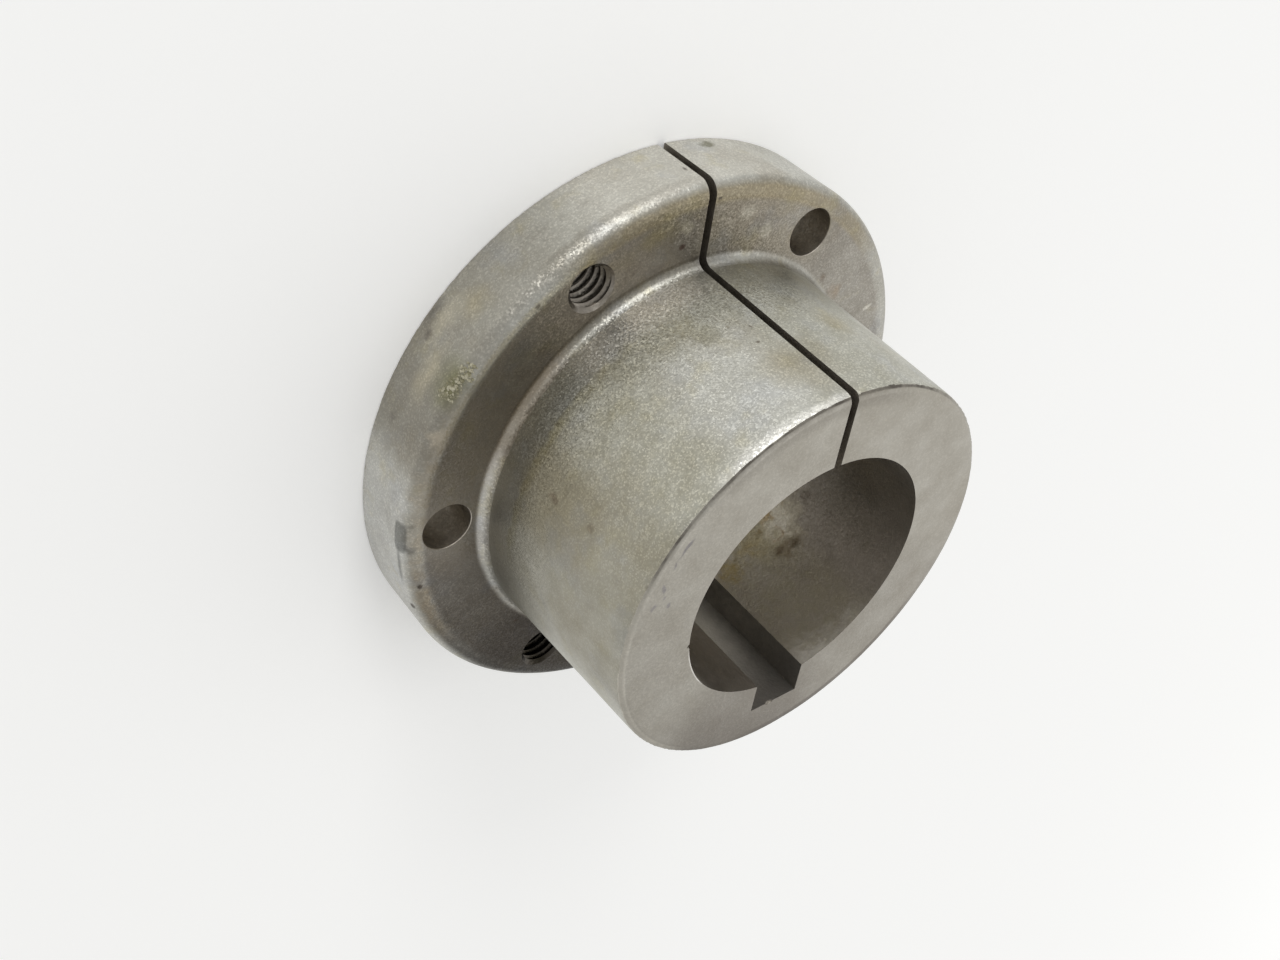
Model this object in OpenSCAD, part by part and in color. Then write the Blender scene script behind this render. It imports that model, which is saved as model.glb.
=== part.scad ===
// Split taper bushing with a bolted flange, for keyed shafts.
// It stands on the back of its flange, with the nose of the taper upwards.

/* [Flange] */
// Outside diameter of the flange
flange_d = 98.4; // [94:0.1:120]
// Thickness of the flange
flange_t = 13.2; // [8:0.1:20]
// Radius of the rounded front edge of the rim
rim_round = 2.4; // [0.5:0.1:2.6]
// Bevel on the back edge of the rim
rim_bevel = 0.2; // [0.1:0.1:1]

/* [Barrel] */
// Length from the back of the flange to the nose
overall_length = 47.9; // [35:0.1:80]
// Diameter of the taper where it leaves the flange
taper_d = 71.4; // [64:0.1:72]
// Diameter lost for each millimetre along the taper
taper_rate = 0.0625; // [0:0.0025:0.1]
// Radius of the fillet between the flange and the barrel
root_fillet = 1.4; // [0.5:0.1:1.5]
// Width of the worn bevel round the nose, across the face
nose_bevel_width = 0.8; // [0.3:0.1:2]
// Depth of the same bevel along the axis
nose_bevel_depth = 0.5; // [0.2:0.1:2]

/* [Bore and keyway] */
// Diameter of the shaft bore
bore_d = 44.45; // [25:0.05:48]
// Bevel at both ends of the bore
bore_bevel = 0.2; // [0.1:0.1:1]
// Width of the keyway
key_width = 9.5; // [5:0.1:13]
// Depth of the keyway below the crown of the bore
key_depth = 5.4; // [2:0.1:6]

/* [Split] */
// Width of the saw cut through one side
split_width = 1.4; // [0.8:0.1:3]

/* [Screw holes] */
// Metal left between the screws and the taper
screw_to_taper = 2.38; // [2.2:0.01:3]
// Metal left between the screws and the rim
screw_to_rim = 3.18; // [3.1:0.01:5]
// Number of plain holes, and of tapped holes between them
hole_pairs = 3; // [2:1:4]
// Angle from the X axis to the first plain hole
hole_turn = 58.5; // [50:0.5:65]
// Room for the clamping screws in the plain holes, on the diameter
screw_play = 0.36; // [0.1:0.02:0.6]
// Bevel at both ends of the plain holes
plain_hole_bevel = 0.2; // [0.1:0.1:0.4]
// Tap drill of the holes for the jacking screws, as a share of the screw
tap_drill_share = 0.831; // [0.75:0.001:0.9]
// Countersink of the tapped holes past the screw, on the diameter
tapped_mouth_play = 0.06; // [0:0.02:0.6]

/* [Set screw] */
// Tap drill diameter of the set screw hole over the keyway
setscrew_hole_d = 5.1; // [3:0.1:6]
// Diameter of the countersink on the set screw hole
setscrew_mouth_d = 6.4; // [6.2:0.1:8]

/* [Hidden] */
$fn = 96;
// Cuts run this far past the faces that they open
past = 1;
full_turn = 360;

flange_r = flange_d / 2;
bore_r = bore_d / 2;
taper_r = taper_d / 2;
// Radius lost for each millimetre along the taper, and the angle that makes
taper_slope = taper_rate / 2;
taper_angle = atan(taper_slope);
nose_r = taper_radius(overall_length);
nose_bevel_z = overall_length - nose_bevel_depth;
// The fillet's centre is one radius in front of the flange and one off the taper
fillet_z = flange_t + root_fillet;
fillet_r = taper_radius(fillet_z) + root_fillet / cos(taper_angle);
key_floor = bore_r + key_depth;
// The screws take the ledge round the taper, less the metal left on both sides
screw_d = flange_r - taper_r - screw_to_taper - screw_to_rim;
bolt_circle_r = taper_r + screw_to_taper + screw_d / 2;
plain_hole_d = screw_d + screw_play;
plain_mouth_d = plain_hole_d + 2 * plain_hole_bevel;
tapped_hole_d = screw_d * tap_drill_share;
tapped_mouth_d = screw_d + tapped_mouth_play;
setscrew_z = flange_t / 2;

function taper_radius(z) = taper_r - (z - flange_t) * taper_slope;

// Half section of the body, with x as radius and y as height
module body_section() {
    difference() {
        polygon([
            [bore_r, 0],
            [flange_r - rim_bevel, 0],
            [flange_r, rim_bevel],
            [flange_r, flange_t],
            [fillet_r, flange_t],
            [fillet_r - root_fillet * cos(taper_angle),
             fillet_z - root_fillet * sin(taper_angle)],
            [taper_radius(nose_bevel_z), nose_bevel_z],
            [nose_r - nose_bevel_width, overall_length],
            [bore_r, overall_length]
        ]);
        rim_corner();
        translate([fillet_r, fillet_z]) circle(r = root_fillet);
    }
}

// What the rounding takes off the front corner of the rim
module rim_corner() {
    translate([flange_r - rim_round, flange_t - rim_round]) {
        difference() {
            square(rim_round + past);
            circle(r = rim_round);
        }
    }
}

// Beveled mouth of a hole, opening along +Z at height zero
module hole_mouth(hole_d, mouth_d) {
    depth = (mouth_d - hole_d) / 2;
    translate([0, 0, -depth]) {
        cylinder(d1 = hole_d, d2 = mouth_d + 2 * past, h = depth + past);
    }
}

// Hole along +Z from zero to length, with a bevel at each end
module beveled_hole(hole_d, mouth_d, length) {
    translate([0, 0, -past]) cylinder(d = hole_d, h = length + 2 * past);
    translate([0, 0, length]) hole_mouth(hole_d, mouth_d);
    mirror([0, 0, 1]) hole_mouth(hole_d, mouth_d);
}

// Plain and tapped holes in turn round the bolt circle
module screw_holes() {
    step = full_turn / hole_pairs;
    for (i = [0 : hole_pairs - 1]) {
        rotate(hole_turn + i * step) translate([bolt_circle_r, 0, 0]) {
            beveled_hole(plain_hole_d, plain_mouth_d, flange_t);
        }
        rotate(hole_turn + (i + 0.5) * step) translate([bolt_circle_r, 0, 0]) {
            beveled_hole(tapped_hole_d, tapped_mouth_d, flange_t);
        }
    }
}

// Keyway on the -Y side of the bore, through the whole length
module keyway() {
    translate([-key_width / 2, -key_floor, -past]) {
        cube([key_width, key_floor, overall_length + 2 * past]);
    }
}

// Saw cut opposite the keyway, from the bore out through the rim
module split() {
    translate([-split_width / 2, 0, -past]) {
        cube([split_width, flange_r + past, overall_length + 2 * past]);
    }
}

// Radial hole from the rim to the keyway, half way through the flange
module setscrew_hole() {
    translate([0, 0, setscrew_z]) rotate([90, 0, 0]) {
        cylinder(d = setscrew_hole_d, h = flange_r + past);
        translate([0, 0, flange_r]) hole_mouth(setscrew_hole_d, setscrew_mouth_d);
    }
}

module bushing() {
    color([0.58, 0.56, 0.52]) difference() {
        rotate_extrude() body_section();
        beveled_hole(bore_d, bore_d + 2 * bore_bevel, overall_length);
        keyway();
        split();
        screw_holes();
        setscrew_hole();
    }
}

bushing();
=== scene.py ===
import math

import bmesh
import bpy
from mathutils import Matrix, Vector, noise


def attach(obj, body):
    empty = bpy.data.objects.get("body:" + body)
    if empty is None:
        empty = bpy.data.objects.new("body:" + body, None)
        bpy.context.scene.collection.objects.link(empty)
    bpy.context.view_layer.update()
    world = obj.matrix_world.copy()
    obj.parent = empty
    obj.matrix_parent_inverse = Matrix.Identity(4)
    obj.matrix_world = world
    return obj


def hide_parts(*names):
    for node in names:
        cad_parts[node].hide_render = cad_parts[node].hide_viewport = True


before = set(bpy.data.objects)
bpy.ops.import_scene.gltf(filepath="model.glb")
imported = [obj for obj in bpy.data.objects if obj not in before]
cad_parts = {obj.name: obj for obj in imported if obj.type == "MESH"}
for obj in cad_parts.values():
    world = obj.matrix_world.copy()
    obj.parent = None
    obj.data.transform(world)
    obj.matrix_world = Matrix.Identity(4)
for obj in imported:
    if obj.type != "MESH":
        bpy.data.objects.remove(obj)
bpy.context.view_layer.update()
scene = bpy.context.scene
scene.view_settings.view_transform = "Standard"
mm = 0.001
print("frame loaded")


def linearColour(hexCode):
    channels = [int(hexCode[i:i + 2], 16) / 255 for i in (1, 3, 5)]
    return [c / 12.92 if c <= 0.04045 else ((c + 0.055) / 1.055) ** 2.4 for c in channels] + [1.0]


def addNode(tree, kind, inputs=None, **settings):
    # one node with its settings and links; what comes back is its outputs
    node = tree.nodes.new(kind)
    for name, value in settings.items():
        setattr(node, name, value)
    for key, value in (inputs or {}).items():
        if isinstance(value, bpy.types.NodeSocket):
            tree.links.new(value, node.inputs[key])
        else:
            node.inputs[key].default_value = value
    return node.outputs


def newMaterial(name):
    material = bpy.data.materials.new(name)
    material.use_nodes = True
    material.node_tree.nodes.clear()
    return material, material.node_tree


def newTree(name, **inputs):
    # the inputs are lists of names, each under its kind of socket
    tree = bpy.data.node_groups.new(name, "GeometryNodeTree")
    tree.interface.new_socket(name="Geometry", in_out="OUTPUT", socket_type="NodeSocketGeometry")
    for kind, names in dict(inputs, Material=["Finish"]).items():
        for socketName in names:
            tree.interface.new_socket(name=socketName, in_out="INPUT", socket_type="NodeSocket" + kind)
    return tree, addNode(tree, "NodeGroupInput")


def endTree(tree, geometry, finish):
    real = addNode(tree, "GeometryNodeRealizeInstances", {"Geometry": geometry})[0]
    finished = addNode(tree, "GeometryNodeSetMaterial", {"Geometry": real, "Material": finish})[0]
    addNode(tree, "NodeGroupOutput", {0: finished})
    return tree


def runTree(tree, mesh, values):
    # the tree's named inputs are set, then its result is taken as a plain mesh
    holder = bpy.data.objects.new(tree.name, mesh)
    scene.collection.objects.link(holder)
    modifier = holder.modifiers.new(tree.name, "NODES")
    modifier.node_group = tree
    for item in tree.interface.items_tree:
        if item.in_out == "INPUT" and item.name in values:
            modifier[item.identifier] = values[item.name]
    evaluated = holder.evaluated_get(bpy.context.evaluated_depsgraph_get())
    made = bpy.data.meshes.new_from_object(evaluated)
    bpy.data.objects.remove(holder)
    return made


# finishes

def filmOrPaintedLight(colour, inner=(10, 11), outer=(60, 61), *, turn, reach, strength,
         along="radius", weakest=0.0, patchy=0.0):
    # a thin layer of oil or grime, or of painted shade or light, that fades in over the inner pair and out
    # over the outer pair, in millimetres, and that is full up to the first reach from its turn and weakest
    # past the second, in degrees
    return {"colour": colour, "inner": inner, "outer": outer, "turn": turn, "reach": reach,
            "strength": strength, "along": along, "weakest": weakest, "patchy": patchy}


def mark(colour, at, size, *, strength, soft=0.6, lean=0, square=False, ragged=True, roughness=None):
    # a spot at one place on the metal, with its sizes along the radius, round it and along the axis
    return {"colour": colour, "at": at, "size": size, "strength": strength, "soft": soft, "lean": lean,
            "square": square, "ragged": ragged, "roughness": roughness}


def markMask(tree, coords, spot):
    # an ellipsoid round the spot's place, strongest inside
    x, y, z = spot["at"]
    turned = addNode(tree, "ShaderNodeMapping", {
        "Vector": coords, "Location": [c * mm for c in (x, y, z)],
        "Rotation": (0, 0, math.atan2(y, x) + math.radians(spot["lean"])),
        "Scale": [s * mm for s in spot["size"]]}, vector_type="TEXTURE")[0]
    if spot["square"]:
        turned = addNode(tree, "ShaderNodeVectorMath", {0: turned, 1: turned}, operation="MULTIPLY")[0]
    distance = addNode(tree, "ShaderNodeVectorMath", {0: turned}, operation="LENGTH")["Value"]
    return addNode(tree, "ShaderNodeMapRange", {
        "Value": distance, "From Min": 1 - spot["soft"], "From Max": 1 + spot["soft"] * 0.3,
        "To Min": spot["strength"], "To Max": 0.0}, interpolation_type="SMOOTHSTEP")[0]


def patchShare(tree, coords, handled, patch):
    # soft patches of noise
    spread = addNode(tree, "ShaderNodeTexNoise", {
        "Vector": coords, "W": patch["seed"], "Scale": 1 / (patch["size"] * mm),
        "Detail": 4.0, "Roughness": 0.55}, noise_dimensions="4D")["Fac"]
    most = addNode(tree, "ShaderNodeMath", {0: handled, 1: patch["strength"]}, operation="MULTIPLY")[0]
    return addNode(tree, "ShaderNodeMapRange", {
        "Value": spread, "From Min": patch["from"], "From Max": patch["from"] + 0.18, "To Max": most},
        interpolation_type="SMOOTHSTEP")[0]


# what a finish has where it doesn't say otherwise: full grain all round and nothing on it
plainSteel = {
    "metallic": 1.0, "stains": [], "tints": [], "filmsAndPaintedLight": [], "marks": [], "pits": None,
    "handledSide": (0, 0, 0), "grainSide": (0, 1, 0), "grainReach": (-3, -2), "grainWeakest": 1.0,
}


def steelFinish(name, given):
    # grain cells tilt the light like small facets, mottling and stains colour it, pits break it
    finish = dict(plainSteel, **given)
    material, tree = newMaterial(name)
    coords = addNode(tree, "ShaderNodeTexCoord")["Object"]
    warp = addNode(tree, "ShaderNodeTexNoise", {
        "Vector": coords, "Scale": 1 / (finish["warpSize"] * mm), "Detail": 3.0})["Color"]
    warpShift = addNode(tree, "ShaderNodeVectorMath", {
        0: warp, 1: (0.5, 0.5, 0.5)}, operation="SUBTRACT")[0]
    warpStep = addNode(tree, "ShaderNodeVectorMath", {
        0: warpShift, "Scale": finish["warpReach"] * mm}, operation="SCALE")[0]
    ragged = addNode(tree, "ShaderNodeVectorMath", {0: coords, 1: warpStep}, operation="ADD")[0]

    grain = addNode(tree, "ShaderNodeTexVoronoi", {
        "Vector": coords, "Scale": 1 / (finish["grainSize"] * mm)})
    grainColour = grain["Color"]
    grainValue = addNode(tree, "ShaderNodeSeparateColor", {0: grainColour})[0]

    mottle = addNode(tree, "ShaderNodeTexNoise", {
        "Vector": coords, "Scale": 1 / (finish["mottleSize"] * mm),
        "Detail": 5.0, "Roughness": 0.6})["Fac"]
    mottleShare = addNode(tree, "ShaderNodeMapRange", {
        "Value": mottle, "From Min": 0.35, "From Max": 0.65})[0]
    colour = addNode(tree, "ShaderNodeMix", {
        0: mottleShare, 6: linearColour(finish["colour"]), 7: linearColour(finish["mottleColour"])},
        data_type="RGBA")[2]

    flat = addNode(tree, "ShaderNodeVectorMath", {0: coords, 1: (1, 1, 0)}, operation="MULTIPLY")[0]
    radius = addNode(tree, "ShaderNodeVectorMath", {0: flat}, operation="LENGTH")["Value"]
    outward = addNode(tree, "ShaderNodeVectorMath", {0: flat}, operation="NORMALIZE")[0]

    # broad oil and handling stains, in two tones that come and go, fewer on the far side
    towardsHand = addNode(tree, "ShaderNodeVectorMath", {
        0: outward, 1: finish["handledSide"]}, operation="DOT_PRODUCT")["Value"]
    handled = addNode(tree, "ShaderNodeMapRange", {
        "Value": towardsHand, "From Min": -0.85, "From Max": -0.45, "To Min": 0.4},
        interpolation_type="SMOOTHSTEP")[0]
    for stain in finish["stains"]:
        colour = addNode(tree, "ShaderNodeMix", {
            0: patchShare(tree, coords, handled, stain), 6: colour, 7: linearColour(stain["colour"])},
            data_type="RGBA")[2]

    # thin films of oil or grime, or painted shade and light, that lie between two radii or two heights,
    # thicker towards one side and patchy
    height = addNode(tree, "ShaderNodeSeparateXYZ", {0: ragged})[2]
    raggedFlat = addNode(tree, "ShaderNodeVectorMath", {0: ragged, 1: (1, 1, 0)}, operation="MULTIPLY")[0]
    raggedRadius = addNode(tree, "ShaderNodeVectorMath", {0: raggedFlat}, operation="LENGTH")["Value"]
    patches = addNode(tree, "ShaderNodeTexNoise", {
        "Vector": coords, "W": 11.0, "Scale": 1 / (finish["warpSize"] * mm),
        "Detail": 5.0, "Roughness": 0.6}, noise_dimensions="4D")["Fac"]
    measures = {"radius": radius, "height": height, "raggedRadius": raggedRadius}
    for layer in finish["filmsAndPaintedLight"]:
        along = measures[layer["along"]]
        near = addNode(tree, "ShaderNodeMapRange", {
            "Value": along, "From Min": layer["inner"][0] * mm, "From Max": layer["inner"][1] * mm},
            interpolation_type="SMOOTHSTEP")[0]
        distant = addNode(tree, "ShaderNodeMapRange", {
            "Value": along, "From Min": layer["outer"][0] * mm, "From Max": layer["outer"][1] * mm,
            "To Min": 1.0, "To Max": 0.0}, interpolation_type="SMOOTHSTEP")[0]
        turn = math.radians(layer["turn"])
        facing = addNode(tree, "ShaderNodeVectorMath", {
            0: outward, 1: (math.cos(turn), math.sin(turn), 0)}, operation="DOT_PRODUCT")["Value"]
        sided = addNode(tree, "ShaderNodeMapRange", {
            "Value": facing, "From Min": math.cos(math.radians(layer["reach"][1])),
            "From Max": math.cos(math.radians(layer["reach"][0])),
            "To Min": layer["weakest"] * layer["strength"], "To Max": layer["strength"]},
            interpolation_type="SMOOTHSTEP")[0]
        patchy = addNode(tree, "ShaderNodeMapRange", {
            "Value": patches, "From Min": 0.4, "From Max": 0.6, "To Min": 1 - layer["patchy"]})[0]
        share = near
        for other in (distant, sided, patchy):
            share = addNode(tree, "ShaderNodeMath", {0: share, 1: other}, operation="MULTIPLY")[0]
        colour = addNode(tree, "ShaderNodeMix", {
            0: share, 6: colour, 7: linearColour(layer["colour"])}, data_type="RGBA")[2]

    # faint tints of old oil change the hue alone
    for tint in finish["tints"]:
        colour = addNode(tree, "ShaderNodeMix", {
            0: patchShare(tree, coords, handled, tint), 6: colour, 7: linearColour(tint["colour"])},
            data_type="RGBA", blend_type="COLOR")[2]

    rough = addNode(tree, "ShaderNodeMapRange", {
        "Value": mottle, "From Min": 0.3, "From Max": 0.7,
        "To Min": finish["roughness"][0], "To Max": finish["roughness"][1]})[0]
    for spot in finish["marks"]:
        mask = markMask(tree, ragged if spot["ragged"] else coords, spot)
        colour = addNode(tree, "ShaderNodeMix", {
            0: mask, 6: colour, 7: linearColour(spot["colour"])}, data_type="RGBA")[2]
        if spot["roughness"]:
            rough = addNode(tree, "ShaderNodeMix", {0: mask, 2: rough, 3: spot["roughness"]})[0]

    # most grains are a little darker, and a few are much lighter as painted glints
    paintedGlint = addNode(tree, "ShaderNodeMath", {0: grainValue, 1: 3.0}, operation="POWER")[0]
    grainToneAndGlint = addNode(tree, "ShaderNodeMapRange", {
        "Value": paintedGlint, "To Min": 1 - finish["grainToneAndGlint"],
        "To Max": 1 + 2.5 * finish["grainToneAndGlint"]})[0]
    # painted shading: on some surfaces the grain and its painted glints are weaker between one side and the
    # opposite one, where the light falls evenly
    towardsGrain = addNode(tree, "ShaderNodeVectorMath", {
        0: outward, 1: finish["grainSide"]}, operation="DOT_PRODUCT")["Value"]
    fullGrainFacing = addNode(tree, "ShaderNodeMath", {0: towardsGrain}, operation="ABSOLUTE")[0]
    grainShare = addNode(tree, "ShaderNodeMapRange", {
        "Value": fullGrainFacing, "From Min": finish["grainReach"][0], "From Max": finish["grainReach"][1],
        "To Min": finish["grainWeakest"]}, interpolation_type="SMOOTHSTEP")[0]
    colour = addNode(tree, "ShaderNodeMix", {
        0: grainShare, 6: colour, 7: grainToneAndGlint}, data_type="RGBA", blend_type="MULTIPLY")[2]

    # sparse dark pits that also sink into the fine bump
    swell = addNode(tree, "ShaderNodeTexNoise", {
        "Vector": coords, "Scale": 1 / (finish["bumpSize"] * mm), "Detail": 3.0})["Fac"]
    if finish["pits"]:
        pits = finish["pits"]
        largest = pits["radius"] / pits["spacing"]
        cells = addNode(tree, "ShaderNodeTexVoronoi", {
            "Vector": ragged, "Scale": 1 / (pits["spacing"] * mm)})
        chance = addNode(tree, "ShaderNodeSeparateColor", {0: cells["Color"]})[1]
        rarely = addNode(tree, "ShaderNodeMath", {0: chance, 1: pits["rare"]}, operation="POWER")[0]
        pitRadius = addNode(tree, "ShaderNodeMath", {0: rarely, 1: largest}, operation="MULTIPLY")[0]
        inside = addNode(tree, "ShaderNodeMath", {
            0: pitRadius, 1: cells["Distance"]}, operation="SUBTRACT")[0]
        pitMask = addNode(tree, "ShaderNodeMapRange", {
            "Value": inside, "From Min": 0.0, "From Max": largest * 0.4, "To Max": pits["strength"]})[0]
        colour = addNode(tree, "ShaderNodeMix", {
            0: pitMask, 6: colour, 7: linearColour(pits["colour"])}, data_type="RGBA")[2]
        swell = addNode(tree, "ShaderNodeMath", {0: swell, 1: pitMask}, operation="SUBTRACT")[0]

    # the facet tilt is added to the bumped normal
    bump = addNode(tree, "ShaderNodeBump", {
        "Height": swell, "Strength": finish["bumpStrength"],
        "Distance": finish["bumpSize"] * mm})[0]
    tilt = addNode(tree, "ShaderNodeVectorMath", {
        0: grainColour, 1: (0.5, 0.5, 0.5)}, operation="SUBTRACT")[0]
    tiltShare = addNode(tree, "ShaderNodeMath", {
        0: grainShare, 1: finish["grainTilt"]}, operation="MULTIPLY")[0]
    tilted = addNode(tree, "ShaderNodeVectorMath", {0: tilt, "Scale": tiltShare}, operation="SCALE")[0]
    summed = addNode(tree, "ShaderNodeVectorMath", {0: bump, 1: tilted}, operation="ADD")[0]
    normal = addNode(tree, "ShaderNodeVectorMath", {0: summed}, operation="NORMALIZE")[0]

    shader = addNode(tree, "ShaderNodeBsdfPrincipled", {
        "Base Color": colour, "Roughness": rough, "Normal": normal,
        "Metallic": finish["metallic"]})[0]
    addNode(tree, "ShaderNodeOutputMaterial", {"Surface": shader})
    return material


# sintered steel, grit blasted: a warm grey with grains that glint one by one
# real grit dents are near 0.1 mm, drawn at twice that so that they show
taperFinish = {
    "colour": "#bfbeb4", "mottleColour": "#b2b0a3", "roughness": (0.38, 0.46),
    "grainSize": 0.22, "grainTilt": 0.2, "grainToneAndGlint": 0.13, "grainSide": (-0.34, 0.94, 0),
    "grainReach": (0.5, 0.9), "grainWeakest": 0.4, "mottleSize": 5, "bumpSize": 0.5, "bumpStrength": 0.1,
    "warpSize": 2.5, "warpReach": 2.0, "handledSide": (-0.45, 0.89, 0),
    "stains": [
        {"colour": "#94896f", "size": 14, "from": 0.5, "strength": 0.28, "seed": 2.0},
        {"colour": "#8b8373", "size": 3, "from": 0.56, "strength": 0.16, "seed": 7.0},
    ],
    "tints": [
        {"colour": "#92959b", "size": 7, "from": 0.52, "strength": 0.22, "seed": 12.0},
        {"colour": "#a89f78", "size": 6, "from": 0.54, "strength": 0.22, "seed": 21.0},
    ],
    "filmsAndPaintedLight": [
        # painted shade on the side away from the light, and yellowed above that
        filmOrPaintedLight("#857e70", turn=172, reach=(18, 36), strength=0.42),
        filmOrPaintedLight("#a3945f", turn=142, reach=(5, 30), strength=0.14, patchy=0.6),
        # a darker blue-grey band low on the taper by the flange, with a line of dried oil at its edge
        filmOrPaintedLight("#676a6f", (15, 18.5), (19.6, 20.4), turn=146, reach=(14, 32), strength=0.3, along="height"),
        filmOrPaintedLight("#8c8250", (19.4, 20), (20.4, 22), turn=150, reach=(22, 38), strength=0.4, along="height",
             patchy=0.6),
        # painted shade lower on the taper at the left
        filmOrPaintedLight("#857a5c", (17, 20), (28, 38), turn=160, reach=(6, 14), strength=0.38, along="height"),
        # painted highlights up the lit side of the taper and along the top of its lip
        filmOrPaintedLight("#dededc", (24, 30), turn=110, reach=(6, 17), strength=0.28, along="height"),
        filmOrPaintedLight("#f4f2ec", (45.6, 47), turn=109, reach=(11, 24), strength=0.55, along="height"),
        # the painted shade is lifted low on the taper by the flange at the lower left, and painted light
        # lies there on the lit side
        filmOrPaintedLight("#b8b3a8", (10, 11), (18, 21), turn=181, reach=(10, 22), strength=0.35, along="height"),
        filmOrPaintedLight("#eeeae0", (10, 11), (17, 22), turn=113, reach=(10, 24), strength=0.7, along="height"),
    ],
    "pits": {"spacing": 5.5, "radius": 0.5, "rare": 3.0, "strength": 0.7, "colour": "#4c4337"},
    "marks": [
        mark("#8d8870", (-9.05, 34.1, 26.6), (3, 2.2, 2.6), strength=0.42),
        mark("#a0926e", (-4.5, 34.6, 38), (3, 4.0, 5.5), strength=0.3, soft=1.0),
        mark("#96917f", (7.1, 34.6, 25.3), (2, 2.2, 1.5), strength=0.45, soft=0.8),
        mark("#a89b74", (11.3, 33.3, 31.5), (3, 3.5, 3.5), strength=0.45, soft=1.0),
        mark("#5a4c3c", (-4.4, 34.8, 32), (1, 0.35, 0.4), strength=0.7),
        mark("#5a4c3c", (-3.0, 35.1, 28.9), (1, 0.3, 0.35), strength=0.6),
        mark("#6d5f50", (-32.8, 12.9, 26.4), (2, 0.7, 1.2), strength=0.5),
        mark("#6d5f50", (-32.2, 13.7, 34.5), (2, 0.8, 0.7), strength=0.4),
        mark("#6e675a", (-6.4, 34.8, 24.9), (0.6, 0.14, 0.7), strength=0.55, soft=0.9, ragged=False),
        mark("#857b66", (-5.9, 34.8, 27.0), (0.6, 0.3, 0.4), strength=0.55, soft=0.9, ragged=False),
        mark("#e2dfd4", (-6.1, 34.8, 24.5), (0.6, 0.12, 0.8), strength=0.8, soft=0.9, ragged=False),
    ],
}

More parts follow.
